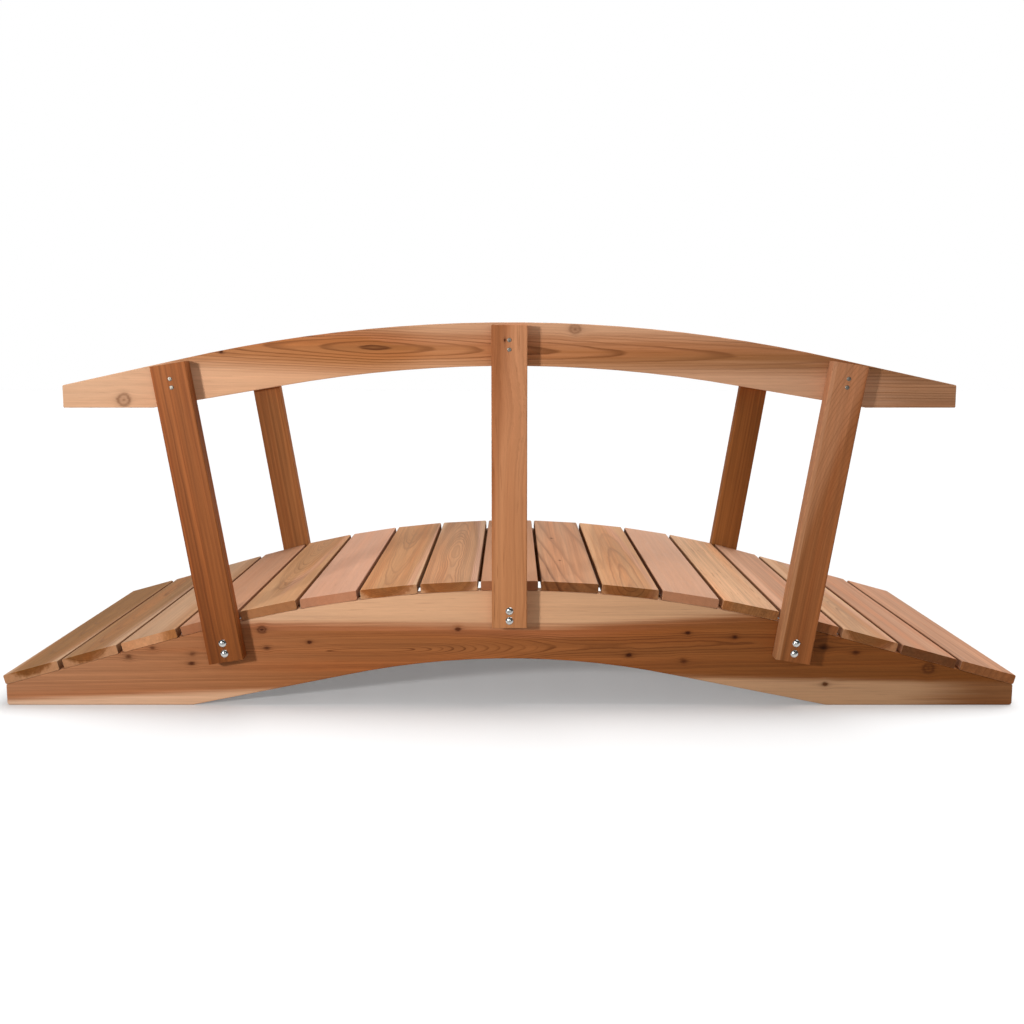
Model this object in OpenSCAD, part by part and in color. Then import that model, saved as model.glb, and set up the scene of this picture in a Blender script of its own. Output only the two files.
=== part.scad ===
// Arched cedar garden footbridge. Bowed side beams carry a deck of planks, and posts bolted to the
// outer faces of the beams carry bowed handrails.
// X runs along the bridge, the front is at -Y and +Z is up. The origin is on the ground under the
// middle of the deck.

/* [Deck] */
// Length of a plank, which is the width of the deck
deck_w = 774; // [600:1:1000]
// Thickness of a plank
plank_t = 17.5; // [14:0.5:25]
// Gap between the planks at the crown
plank_gap = 5.2; // [3:0.1:12]
// Radius of a plank's eased long edges
plank_ease = 3; // [1:0.5:5]
// Reach of the deck past each end of the side beams
deck_overhang = 5; // [0:1:20]
// Clearance between the planks and the top edges of the side beams
plank_seat = 0.1; // [0.05:0.05:0.3]

/* [Side beams] */
// Length of a side beam
beam_l = 1829; // [1500:1:2200]
// Thickness of a side beam
beam_t = 32; // [20:1:50]
// Height of a side beam's top edge at the crown
beam_crown_z = 212; // [180:1:260]
// Height of a side beam's end faces
beam_end_h = 38.5; // [25:0.5:60]
// Length of the straight run at each end of the top edge
beam_straight_l = 355; // [200:1:450]
// Height of the arch under a side beam
beam_arch_z = 86.5; // [60:0.5:110]
// Length of the flat foot at each end of a side beam
beam_foot_l = 338; // [250:1:420]
// Length of the straight run at each end of the arch
beam_arch_straight_l = 292; // [150:1:350]
// Radius of the lower corners at the ends of a side beam
beam_toe_r = 5; // [1:0.5:10]

/* [Handrails] */
// Length of a handrail
rail_l = 1573; // [1400:1:1800]
// Thickness of a handrail
rail_t = 32; // [20:1:50]
// Height of a handrail's top edge at the crown
rail_crown_z = 689; // [600:1:800]
// Height of a handrail's end faces
rail_end_h = 39.5; // [30:0.5:50]
// Length of the straight run at each end of the top edge
rail_straight_l = 224; // [100:1:350]
// Depth of a handrail at the crown
rail_depth = 75.8; // [65:0.1:90]
// Drop from the bottom edge at the crown to the flats at the ends
rail_flat_drop = 73.2; // [60:0.1:85]
// Length of the flat under each end of a handrail
rail_flat_l = 158; // [100:1:220]
// Length of the straight run that leads to each flat
rail_bottom_straight_l = 240; // [120:1:300]

/* [Posts] */
// Width of a post
post_w = 62.5; // [40:0.5:80]
// Thickness of a post
post_t = 32; // [20:1:50]
// Radius of a post's eased long edges
post_ease = 2; // [0.5:0.5:5]
// Distance of an outer post's foot from the middle of the bridge
post_foot_x = 506; // [400:1:600]
// Distance of an outer post's head from the middle of the bridge
post_head_x = 592; // [500:1:700]
// How far the foot of a post laps down over the side beam
post_lap = 62; // [50:1:75]
// How far the head of a post stops below the top edge of the handrail
post_drop = 5; // [0:1:15]

/* [Hidden] */
PLANK_COUNT = 17;
// Sides of the large bows, and of the small rounded edges
BOW_FN = 1440;
EDGE_FN = 48;
// Overrun of a cutting shape past what it cuts, and overlap of two shapes that are joined
CUT = 10;
JOIN = 10;
SET_IN = 0.05;

plank_pitch = (beam_l + 2 * deck_overhang) / PLANK_COUNT;
plank_w = plank_pitch - plank_gap;
rail_bottom_z = rail_crown_z - rail_depth;
rail_flat_z = rail_bottom_z - rail_flat_drop;
side_y = deck_w / 2;

// A bow is [half length, straight run, crown height, end height]: an arc over the middle of the bridge,
// and at each end a straight run that leaves the arc along its tangent
BEAM_TOP = [beam_l / 2, beam_straight_l, beam_crown_z, beam_end_h];
BEAM_ARCH = [beam_l / 2 - beam_foot_l, beam_arch_straight_l, beam_arch_z, 0];
RAIL_TOP = [rail_l / 2, rail_straight_l, rail_crown_z, rail_flat_z + rail_end_h];
RAIL_BOTTOM = [rail_l / 2 - rail_flat_l, rail_bottom_straight_l, rail_bottom_z, rail_flat_z];

FRONT = -1;
BACK = 1;
LEFT = -1;
MIDDLE = 0;
RIGHT = 1;
CEDAR_BEAM = "#a3683f";
CEDAR_RAIL = "#b07a4e";
CEDAR_POST = "#9a6038";
CEDAR_PLANK = "#c39468";

function plank_name(i) = str("plank_", i < 10 ? "0" : "", i);

function half_length(bow) = bow[0];
function straight_run(bow) = bow[1];
function crown(bow) = bow[2];
function end_height(bow) = bow[3];
function arc_half(bow) = half_length(bow) - straight_run(bow);
// Tangent of half the end slope, found by fixed-point steps from the rise of the arc and the straight run
function half_tan(bow, t = 0, steps = 16) =
    steps == 0 ? t : half_tan(
        bow,
        (crown(bow) - end_height(bow)) / (arc_half(bow) + 2 * straight_run(bow) / (1 - t * t)),
        steps - 1
    );
// Slope of the straight runs, in degrees
function end_slope(bow) = 2 * atan(half_tan(bow));
function arc_radius(bow) = arc_half(bow) / sin(end_slope(bow));
// Slope of a bow at x, in degrees, positive where it falls to the right
function bow_slope(bow, x) = abs(x) < arc_half(bow) ? asin(x / arc_radius(bow)) : sign(x) * end_slope(bow);
// Height of a bow at x
function bow_z(bow, x) =
    abs(x) < arc_half(bow)
        ? crown(bow) - arc_radius(bow) + sqrt(pow(arc_radius(bow), 2) - x * x)
        : end_height(bow) + (half_length(bow) - abs(x)) * tan(end_slope(bow));

// A slab of thickness t under a bow, lying in X and Y, down to base_z. Its straight runs go on by extra_l past
// the bow's ends. They are set in by SET_IN from the true tangents, so that they cross the arc at a clean corner.
module under_bow(bow, extra_l, base_z, t) {
    r = arc_radius(bow);
    slope = end_slope(bow);
    half_l = half_length(bow) + extra_l;
    end_z = end_height(bow) - extra_l * tan(slope) - SET_IN / cos(slope);
    shoulder_x = arc_half(bow) - SET_IN * sin(slope);
    shoulder_z = end_z + (half_l - shoulder_x) * tan(slope);
    union() {
        linear_extrude(t) polygon([
            [-half_l, base_z], [-half_l, end_z], [-shoulder_x, shoulder_z],
            [shoulder_x, shoulder_z], [half_l, end_z], [half_l, base_z]
        ]);
        intersection() {
            translate([0, crown(bow) - r, 0]) cylinder(t, r, r, $fn = BOW_FN);
            translate([-r, shoulder_z - JOIN, 0]) cube([2 * r, r, t]);
        }
    }
}

// What is cut from under a bowed board of thickness t, out past the ends of the bow
module arch_cut(bow, t) {
    extra_l = CUT / tan(end_slope(bow));
    translate([0, 0, -CUT]) under_bow(bow, extra_l, end_height(bow) - 2 * CUT, t + 2 * CUT);
}

// The square tip of a lower end corner, outside its rounding
module toe_tip() {
    difference() {
        translate([-CUT, -CUT]) square(beam_toe_r + CUT);
        translate([beam_toe_r, beam_toe_r]) circle(beam_toe_r, $fn = EDGE_FN);
        translate([beam_toe_r, -CUT]) square(beam_toe_r + CUT);
        translate([-CUT, beam_toe_r]) square(beam_toe_r + CUT);
    }
}

module beam_board() {
    difference() {
        under_bow(BEAM_TOP, 0, 0, beam_t);
        arch_cut(BEAM_ARCH, beam_t);
        for (side = [LEFT, RIGHT])
            mirror([side == RIGHT ? 1 : 0, 0, 0])
                translate([-beam_l / 2, 0, -CUT])
                linear_extrude(beam_t + 2 * CUT) toe_tip();
    }
}

module rail_board() {
    difference() {
        under_bow(RAIL_TOP, 0, rail_flat_z, rail_t);
        arch_cut(RAIL_BOTTOM, rail_t);
    }
}

// Stands a board of thickness t on edge on the given side, its outer face flush with the plank ends
module upright(side, t) {
    translate([0, side == FRONT ? t - side_y : side_y, 0]) rotate([90, 0, 0]) children();
}

// Section of a board, centred, with all four long edges eased
module eased_section(w, t, ease) {
    square([w - 2 * ease, t], center = true);
    square([w, t - 2 * ease], center = true);
    for (sx = [-1, 1], sy = [-1, 1])
        translate([sx * (w / 2 - ease), sy * (t / 2 - ease)]) circle(ease, $fn = EDGE_FN);
}

module stringer(side) {
    color(CEDAR_BEAM) upright(side, beam_t) beam_board();
}

module rail(side) {
    color(CEDAR_RAIL) upright(side, rail_t) rail_board();
}

// A plank lies along the tangent of the beams' top edges at its own middle
module plank(i) {
    x = (i - (PLANK_COUNT + 1) / 2) * plank_pitch;
    color(CEDAR_PLANK)
        translate([x, 0, bow_z(BEAM_TOP, x)])
        rotate([0, bow_slope(BEAM_TOP, x), 0])
        translate([0, deck_w / 2, plank_seat + plank_t / 2])
        rotate([90, 0, 0])
        linear_extrude(deck_w) eased_section(plank_w, plank_t, plank_ease);
}

// A post runs from a point on the side beam to a point on the handrail, cut square at both ends
module post(side, place) {
    foot_x = place * post_foot_x;
    head_x = place * post_head_x;
    foot_z = bow_z(BEAM_TOP, foot_x) - post_lap;
    head_z = bow_z(RAIL_TOP, head_x) - post_drop;
    lean = atan2(head_x - foot_x, head_z - foot_z);
    length = norm([head_x - foot_x, head_z - foot_z]);
    color(CEDAR_POST)
        translate([foot_x, side * (side_y + post_t / 2), foot_z])
        rotate([0, lean, 0])
        linear_extrude(length) eased_section(post_w, post_t, post_ease);
}

stringer(FRONT);  // front_stringer
stringer(BACK);  // back_stringer
for (i = [1 : PLANK_COUNT])
    plank(i);
post(FRONT, LEFT);  // front_left_post
post(FRONT, MIDDLE);  // front_middle_post
post(FRONT, RIGHT);  // front_right_post
post(BACK, LEFT);  // back_left_post
post(BACK, MIDDLE);  // back_middle_post
post(BACK, RIGHT);  // back_right_post
rail(FRONT);  // front_rail
rail(BACK);  // back_rail
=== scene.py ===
"""Looks of an arched cedar garden footbridge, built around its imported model.

Metres, in the model's own frame: X runs along the bridge, the front is at -Y and +Z is up.
The wood is a solid texture: each board knows where the heart of its log lay, so that faces, edges and
end grain of the same board agree.
"""

import math
from dataclasses import dataclass, replace
from typing import NamedTuple

import bmesh
import bpy
from mathutils import Euler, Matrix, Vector


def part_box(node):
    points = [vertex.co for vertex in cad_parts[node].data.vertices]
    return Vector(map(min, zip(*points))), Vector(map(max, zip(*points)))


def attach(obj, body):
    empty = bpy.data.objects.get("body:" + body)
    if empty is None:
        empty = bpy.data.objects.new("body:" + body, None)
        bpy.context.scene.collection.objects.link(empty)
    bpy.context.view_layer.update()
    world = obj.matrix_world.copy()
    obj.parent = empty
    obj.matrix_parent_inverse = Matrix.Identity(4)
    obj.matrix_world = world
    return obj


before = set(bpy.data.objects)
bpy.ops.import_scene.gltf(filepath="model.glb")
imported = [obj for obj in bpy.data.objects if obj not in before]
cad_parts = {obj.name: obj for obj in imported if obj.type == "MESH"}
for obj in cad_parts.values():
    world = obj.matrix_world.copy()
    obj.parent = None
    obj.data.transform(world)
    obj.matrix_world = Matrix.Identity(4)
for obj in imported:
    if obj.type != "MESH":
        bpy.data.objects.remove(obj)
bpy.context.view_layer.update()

BODY = "root"
MM = 0.001
SIDES = {"front": -1, "back": 1}
PLACES = ("left", "middle", "right")
PLANK_COUNT = 17
# First seeds of the noise in posts and planks, and the step from a board at the front to that at the back
POST_SEED = 20
PLANK_SEED = 40
BACK_SEED = 10


# Node graphs

# Middle of the range of a noise texture
NOISE_MIDDLE = 0.5


def rgba(colour):
    return (*colour, 1.0)


class Graph:
    """A node tree with short calls for the steps of a shader. Values are sockets or constants."""

    def __init__(self, tree):
        self.tree = tree

    def plug(self, socket, value):
        if isinstance(value, bpy.types.NodeSocket):
            self.tree.links.new(value, socket)
        else:
            socket.default_value = value

    def node(self, kind, inputs=None, **settings):
        node = self.tree.nodes.new(kind)
        for name, value in settings.items():
            setattr(node, name, value)
        for name, value in (inputs or {}).items():
            self.plug(node.inputs[name], value)
        return node

    def math(self, operation, *values, clamp=False):
        node = self.node("ShaderNodeMath", operation=operation, use_clamp=clamp)
        for socket, value in zip(node.inputs, values):
            self.plug(socket, value)
        return node.outputs[0]

    def add(self, first, *rest):
        for value in rest:
            first = self.math("ADD", first, value)
        return first

    def sub(self, a, b):
        return self.math("SUBTRACT", a, b)

    def mul(self, first, *rest):
        for value in rest:
            first = self.math("MULTIPLY", first, value)
        return first

    def div(self, a, b):
        return self.math("DIVIDE", a, b)

    def rest(self, share):
        """What a share leaves of the whole."""
        return self.sub(1.0, share)

    def at_least(self, floor, share):
        """From floor, where the share is 0, to 1, where it is 1."""
        return self.add(floor, self.mul(1.0 - floor, share))

    def squares(self, a, b):
        return self.add(self.mul(a, a), self.mul(b, b))

    def hypot(self, a, b):
        return self.math("SQRT", self.squares(a, b))

    def bell(self, value):
        """1 at zero, falling to 0 on both sides over a length of about 1."""
        return self.math("EXPONENT", self.mul(-1.0, value, value))

    def smooth(self, value, low, high):
        """A smooth step from 0 at low to 1 at high, which may be the lesser of the two."""
        node = self.node(
            "ShaderNodeMapRange",
            {"Value": value, "From Min": low, "From Max": high},
            interpolation_type="SMOOTHSTEP",
        )
        return node.outputs["Result"]

    def vector(self, operation, a, b):
        node = self.node("ShaderNodeVectorMath", operation=operation)
        self.plug(node.inputs[0], a)
        self.plug(node.inputs[1], b)
        return node.outputs["Value" if operation == "DOT_PRODUCT" else "Vector"]

    def scale(self, colour, factor):
        node = self.node("ShaderNodeVectorMath", {"Scale": factor}, operation="SCALE")
        self.plug(node.inputs[0], colour)
        return node.outputs["Vector"]

    def split(self, vector):
        return self.node("ShaderNodeSeparateXYZ", {"Vector": vector}).outputs

    def join(self, x, y, z):
        return self.node("ShaderNodeCombineXYZ", {"X": x, "Y": y, "Z": z}).outputs["Vector"]

    def mix(self, factor, a, b):
        node = self.node("ShaderNodeMix", data_type="RGBA")
        sockets = {s.identifier: s for s in node.inputs}
        self.plug(sockets["Factor_Float"], factor)
        self.plug(sockets["A_Color"], a)
        self.plug(sockets["B_Color"], b)
        return next(s for s in node.outputs if s.identifier == "Result_Color")

    def tint(self, factor, colour, tint):
        return self.mix(factor, colour, self.vector("MULTIPLY", colour, tint))

    def noise(self, place, stretch, detail=2.0, roughness=0.5):
        """Noise about zero, from -0.5 to 0.5, with stretch cycles per metre along each axis."""
        spot = self.vector("MULTIPLY", place, stretch)
        inputs = {"Vector": spot, "Scale": 1.0, "Detail": detail, "Roughness": roughness}
        return self.sub(self.node("ShaderNodeTexNoise", inputs).outputs["Fac"], NOISE_MIDDLE)

    def line_noise(self, value, detail=2.0):
        """Noise along a line, from 0 to 1."""
        inputs = {"W": value, "Scale": 1.0, "Detail": detail}
        return self.node("ShaderNodeTexNoise", inputs, noise_dimensions="1D").outputs["Fac"]

    def chance(self, value):
        """A number from 0 to 1 that has nothing to do with the value, but is always the same for it."""
        return self.node("ShaderNodeTexWhiteNoise", {"W": value}, noise_dimensions="1D").outputs["Value"]

    def mix_shaders(self, factor, a, b):
        node = self.node("ShaderNodeMixShader", {"Fac": factor})
        self.plug(node.inputs[1], a)
        self.plug(node.inputs[2], b)
        return node.outputs["Shader"]

    def show(self, shader, kind="Material"):
        """Sends a shader to the output of the tree."""
        self.node(f"ShaderNodeOutput{kind}", {"Surface": shader})


SOCKETS = {"float": "NodeSocketFloat", "vector": "NodeSocketVector", "colour": "NodeSocketColor"}


def new_group(name, inputs, outputs):
    """An empty node group with the named sockets, as (graph, input sockets, output node)."""
    tree = bpy.data.node_groups.new(name, "ShaderNodeTree")
    for way, sockets in (("INPUT", inputs), ("OUTPUT", outputs)):
        for kind, names in sockets.items():
            for socket in names:
                tree.interface.new_socket(socket, in_out=way, socket_type=SOCKETS[kind])
    graph = Graph(tree)
    return graph, graph.node("NodeGroupInput").outputs, graph.node("NodeGroupOutput")


def empty_tree(owner):
    """The graph of a new material or world, with nothing in it."""
    owner.use_nodes = True
    owner.node_tree.nodes.clear()
    return Graph(owner.node_tree)


# Cedar

# Noise, in cycles per metre along the grain, across it and through the board.
# Slow waves, quick waves and jitter in the growth rings
WAVE = (2.2, 7.0, 7.0)
RIPPLE = (6.0, 18.0, 18.0)
JITTER = (26.0, 110.0, 110.0)
# Broad tone, streaks, redder bands, flecks and fibres in the colour
TONE = (1.3, 10.0, 10.0)
STREAK = (1.9, 130.0, 130.0)
STREAK_DETAIL, STREAK_ROUGHNESS = 3.0, 0.62
RED = (0.9, 26.0, 26.0)
FLECK = (16.0, 330.0, 330.0)
FIBRE = (24.0, 800.0, 800.0)
# Offset of the noise from one seed to the next
SEED_STEP = (7.31, 3.17, 5.93)
# How strong the quick waves are next to the slow ones, and how deep the jitter is
RIPPLE_SHARE = 0.6
JITTER_DEPTH = 0.0008
# Length over which a bend in the heart of the log turns
BEND_LENGTH = 0.03
# Depth over which the heart of the log levels out at its limit
LIMIT_BLEND = 0.006
# Where in a growth ring the latewood starts, is darkest and ends
LATE_START, LATE_PEAK, LATE_END = 0.52, 0.88, 1.0
# How uneven the rings are, in ring widths, and how often that changes, in cycles per ring
RING_UNEVEN = 1.2
RING_CHANGE = 0.30
# Where in that change the darker bands of rings start and are full, how far into them a board has its own
# tone, and how much darker they are
DARK_BAND = (0.36, 0.64)
BAND_MIDDLE = 0.5
BAND_SHADE = 0.14
# Share of the darker bands in the strength of a ring, which is chance for the rest
BAND_STRENGTH = 0.5
# How far the latewood of the faintest ring goes next to the darkest, and how far sapwood hides it
FAINT_RING = 0.25
SAP_HIDES = 0.92
# How much weaker streaks are in sapwood
SAP_PLAIN = 0.4
# How strong the lines are where they break up along the grain, and where in the streaks they do
LINE_LEAST = 0.3
LINE_BREAKS = (-0.20, 0.12)
# How far the edge of the sapwood follows the slow waves, streaks and broad tone
SAP_WAVE = 0.4
SAP_FEATHER = 0.010
SAP_WANDER = 0.006
# Softness of the edge of a strip of sapwood, to each side
STRIP_EDGE = 0.0013
# Depth of the paler rim of heartwood next to the sapwood, its strength and its tint
RIM_DEPTH = 0.012
RIM_SHARE = 0.6
RIM_TINT = (1.22, 1.32, 1.90)
# Length over which the sapwood gives out at a flared end, and how far streaks shift that
FLARE_LENGTH = 0.16
FLARE_FEATHER = 0.22
# How far left of a board's middle its pale end starts and is full, the tint of pale sapwood, and how far
# heartwood goes to sapwood there. The pale end is partly the wood's own tone and partly painted light,
# washed out where the light falls strongest
PALE_START, PALE_FULL = 0.25, 0.95
PALE_SAP = (1.55, 1.95, 2.45)
HEART_PALE = 0.7
# How fast red, green and blue change along a board, the darker wood also the warmer: partly the wood's own
# tone, partly painted light and shade, darker and warmer where less light falls
FADE_TINT = (1.0, 1.25, 2.3)
# Tint of the redder bands, where in their noise they start and are full, and how far sapwood shows them
RED_TINT = (1.06, 0.91, 0.80)
RED_BAND = (-0.10, 0.22)
SAP_RED = 0.35
# Where in their noise flecks start and are full
FLECK_BAND = (0.10, 0.26)
# How far fibres lighten and darken the wood
FIBRE_SHADE = 0.20
# Tint of end grain in heartwood and sapwood, and where on a turning surface it starts and is full
END_HEART_TINT = (0.57, 0.41, 0.25)
END_SAP_TINT = (0.81, 0.64, 0.52)
END_START, END_FULL = 0.75, 0.95
# Tint of painted shade on the sides of a board, and where on a turning surface it starts and is full
SIDE_TINT = (0.34, 0.20, 0.10)
SIDE_START, SIDE_FULL = 0.78, 0.98
# Tint of the darkest knot
KNOT_TINT = (0.20, 0.125, 0.075)
# Roughness of the wood, what fibres and end grain add to it, and what latewood takes from it
ROUGHNESS = 0.58
FIBRE_ROUGH = 0.16
END_ROUGH = 0.12
LATE_SMOOTH = 0.10
SPECULAR = 0.10
# Relief of streaks and latewood next to that of the fibres, and the depth and strength of it all
STREAK_RELIEF = 0.5
LATE_RELIEF = 0.35
BUMP_DEPTH = 0.0006
BUMP_STRENGTH = 0.5


class Tone(NamedTuple):
    """Linear colours of one cedar's sapwood, heartwood and latewood lines."""
    sapwood: tuple
    heartwood: tuple
    latewood: tuple


class Knot(NamedTuple):
    """A knot's place along and across its board, its radius, how dark it is and how far it is an outline.

    With no shade it only pushes the grain aside.
    """
    u: float
    v: float
    size: float
    shade: float = 0.9
    ringed: float = 0.0


class Lie(NamedTuple):
    """How a board lies: a point in it, its turn, and which of its turned axes are u, v and w."""
    at: Vector
    turn: tuple
    axes: str


# Places of u and v in the axes of a board
ALONG, ACROSS = 0, 1


class Course(NamedTuple):
    """Depth of a log's heart from the middle of a board, and how it changes along the board.

    It tapers evenly, and it bends by a power of the distance from one place.
    """
    depth: float
    taper: float = 0.0
    bend: float = 0.0
    bend_at: float = 0.0
    bend_power: float = 1.0


@dataclass(frozen=True)
class Cut:
    """How a board was cut from its log, and how strong each feature of its wood is.

    The heart of the log is given across the board, with its drift along it, and in depth, by the values of
    a Course up to a limit. The rings and the sapwood may each be shifted across from there. The sapwood
    starts at the radius sap, and follows the rings unless it has a course or drift of its own. A strip is
    an edge of the board, up to that v, which is sapwood in any case.
    """
    tone: Tone
    across: float = 0.0
    depth: float = 0.05
    drift: float = 0.0
    taper: float = 0.0
    bend: float = 0.0
    bend_at: float = 0.0
    bend_power: float = 1.0
    sap_course: Course = None
    ring_limit: float = 1.0
    sap_limit: float = 1.0
    ring_shift: float = 0.0
    sap_shift: float = 0.0
    sap_drift: float = None
    ring: float = 0.003
    waviness: float = 0.012
    sap: float = 0.5
    sap_edge: float = 0.004
    sap_hides: float = SAP_HIDES
    sap_share: float = 1.0
    strip: float = None
    rim: float = RIM_SHARE
    flare: float = 0.0
    flare_at: float = 0.0
    pale: float = 0.0
    fade: float = 0.0
    sap_fade: float = 0.0
    lines: float = 0.5
    streaks: float = 0.6
    mottle: float = 0.4
    flecks: float = 0.15
    end_shade: float = 1.0
    side_shade: float = 0.0
    knots: tuple = ()


# Values of a cut that go to the cedar as they are, and those that its material works out
CUT_INPUTS = (
    "across", "drift", "ring_limit", "sap_limit", "ring_shift", "sap_shift", "ring", "waviness", "sap",
    "sap_edge", "sap_hides", "sap_share", "rim", "flare", "flare_at", "pale", "fade", "sap_fade", "lines",
    "streaks", "mottle", "flecks", "end_shade",
)
BOARD_INPUTS = ("seed", "sap_drift", "strip", "knots", "end_grain", "side_shade")


class Grain(NamedTuple):
    """Noise in the colour of the wood, each as a socket."""
    tone: bpy.types.NodeSocket
    streak: bpy.types.NodeSocket
    red: bpy.types.NodeSocket
    fleck: bpy.types.NodeSocket
    fibre: bpy.types.NodeSocket


class Rings(NamedTuple):
    """Distance across from the log's heart, slow waves, latewood and darker bands, each as a socket."""
    across: bpy.types.NodeSocket
    wave: bpy.types.NodeSocket
    late: bpy.types.NodeSocket
    band: bpy.types.NodeSocket


class Sapwood(NamedTuple):
    """How far wood is sapwood, and how far it is the rim of heartwood next to it, each as a socket."""
    cover: bpy.types.NodeSocket
    rim: bpy.types.NodeSocket


def course_sockets(name):
    """Names of the inputs that give a course of the log's heart."""
    return [f"{name}_{value}" for value in Course._fields]


def heart_depth(graph, given, name, u):
    """Depth of the log's heart at u along the board, by the named course, up to its limit."""
    depth, taper, bend, bend_at, power = (given[socket] for socket in course_sockets(name))
    length = graph.math("POWER", graph.hypot(graph.sub(u, bend_at), BEND_LENGTH), power)
    lying = graph.add(depth, graph.mul(taper, u), graph.mul(bend, length))
    return graph.math("SMOOTH_MIN", lying, given[f"{name}_limit"], LIMIT_BLEND)


def growth_rings(graph, given, place, spot):
    """Rings round the heart of the log, uneven, in darker and lighter bands, each with its own strength."""
    u, v, w = place
    across = graph.sub(v, graph.add(given["across"], graph.mul(given["drift"], u)))
    wave = graph.mul(graph.noise(spot, WAVE), given["waviness"])
    ripple = graph.mul(graph.noise(spot, RIPPLE), given["waviness"], RIPPLE_SHARE)
    jitter = graph.mul(graph.noise(spot, JITTER), JITTER_DEPTH)
    aside = graph.sub(across, given["ring_shift"])
    through = graph.sub(w, heart_depth(graph, given, "ring", u))
    radius = graph.add(graph.hypot(aside, through), wave, ripple, jitter)

    even = graph.div(radius, given["ring"])
    uneven = graph.line_noise(graph.add(graph.mul(even, RING_CHANGE), given["seed"]))
    band = graph.smooth(uneven, *DARK_BAND)
    ring = graph.add(even, graph.mul(uneven, RING_UNEVEN))
    chance = graph.chance(graph.add(graph.math("FLOOR", ring), given["seed"]))
    strength = graph.add(graph.mul(1.0 - BAND_STRENGTH, chance), graph.mul(BAND_STRENGTH, band))
    phase = graph.math("FRACT", ring)
    rise = graph.smooth(phase, LATE_START, LATE_PEAK)
    fall = graph.rest(graph.smooth(phase, LATE_PEAK, LATE_END))
    late = graph.mul(rise, fall, graph.at_least(FAINT_RING, strength))
    return Rings(across, wave, late, band)


def find_sapwood(graph, given, place, grain, rings):
    """Sapwood outside the heartwood. The rim lies on the one side of the heart where v is greater."""
    u, v, w = place
    heart = graph.add(given["across"], given["sap_shift"], graph.mul(given["sap_drift"], u))
    aside = graph.sub(v, heart)
    through = graph.sub(w, heart_depth(graph, given, "sap", u))
    radius = graph.add(graph.hypot(aside, through), graph.mul(SAP_WAVE, rings.wave))
    edge = graph.add(given["sap"], graph.mul(grain.tone, SAP_WANDER))
    past_edge = graph.add(graph.sub(radius, edge), graph.mul(grain.streak, SAP_FEATHER))
    inside = graph.mul(-1.0, given["sap_edge"])
    near_edge = graph.smooth(past_edge, -RIM_DEPTH, inside)
    rim = graph.mul(given["rim"], near_edge, graph.smooth(rings.across, 0.0, RIM_DEPTH))
    reach = graph.add(graph.sub(u, given["flare_at"]), graph.mul(grain.streak, FLARE_FEATHER))
    flared = graph.mul(given["flare"], graph.smooth(reach, 0.0, FLARE_LENGTH))
    past = graph.smooth(past_edge, inside, given["sap_edge"])
    cover = graph.mul(past, graph.rest(flared), given["sap_share"])
    return Sapwood(graph.math("MAXIMUM", cover, given["strip"]), rim)


def fading(graph, colour, rate, u):
    """A colour that changes along the board, its green and blue faster than its red: partly the wood's own
    tone, partly painted light and shade.
    """
    slope = graph.mul(rate, u)
    tints = [graph.add(1.0, graph.mul(slope, tint)) for tint in FADE_TINT]
    return graph.vector("MULTIPLY", colour, graph.join(*tints))


def cedar_colour(graph, given, u, grain, rings, sap):
    """Colour of cedar, paler to the left, with its lines, streaks, end grain, shaded sides and knots.

    The pale end and the change along the board are partly painted light and shade; the shaded sides are
    painted shade.
    """
    # Partly painted light: the left end is paler and its lines wash out
    pale = graph.mul(given["pale"], graph.smooth(graph.mul(-1.0, u), PALE_START, PALE_FULL))
    outer = fading(graph, given["sapwood"], given["sap_fade"], u)
    inner = fading(graph, given["heartwood"], given["fade"], u)
    inner = graph.tint(sap.rim, inner, RIM_TINT)
    inner = graph.mix(graph.mul(HEART_PALE, pale), inner, outer)
    outer = graph.tint(pale, outer, PALE_SAP)
    colour = graph.mix(sap.cover, inner, outer)
    redness = graph.mul(grain.red, graph.rest(graph.mul(1.0 - SAP_RED, sap.cover)))
    colour = graph.tint(redness, colour, RED_TINT)

    shown = graph.rest(graph.mul(given["sap_hides"], sap.cover))
    whole = graph.at_least(LINE_LEAST, graph.smooth(grain.streak, *LINE_BREAKS))
    lines = graph.mul(rings.late, given["lines"], shown, whole, graph.rest(pale))
    lines = graph.math("MAXIMUM", lines, graph.mul(grain.fleck, given["flecks"]))
    colour = graph.mix(lines, colour, given["latewood"])
    light = graph.add(
        1.0,
        graph.mul(grain.streak, given["streaks"], graph.rest(graph.mul(SAP_PLAIN, sap.cover))),
        graph.mul(grain.tone, given["mottle"]),
        graph.mul(grain.fibre, FIBRE_SHADE),
        graph.mul(graph.sub(BAND_MIDDLE, rings.band), shown, given["lines"], BAND_SHADE),
    )
    colour = graph.scale(colour, light)

    end_tint = graph.mix(sap.cover, rgba(END_HEART_TINT), rgba(END_SAP_TINT))
    colour = graph.tint(given["end_grain"], colour, graph.scale(end_tint, given["end_shade"]))
    colour = graph.tint(given["side_shade"], colour, SIDE_TINT)
    return graph.tint(given["knots"], colour, KNOT_TINT)


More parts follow.
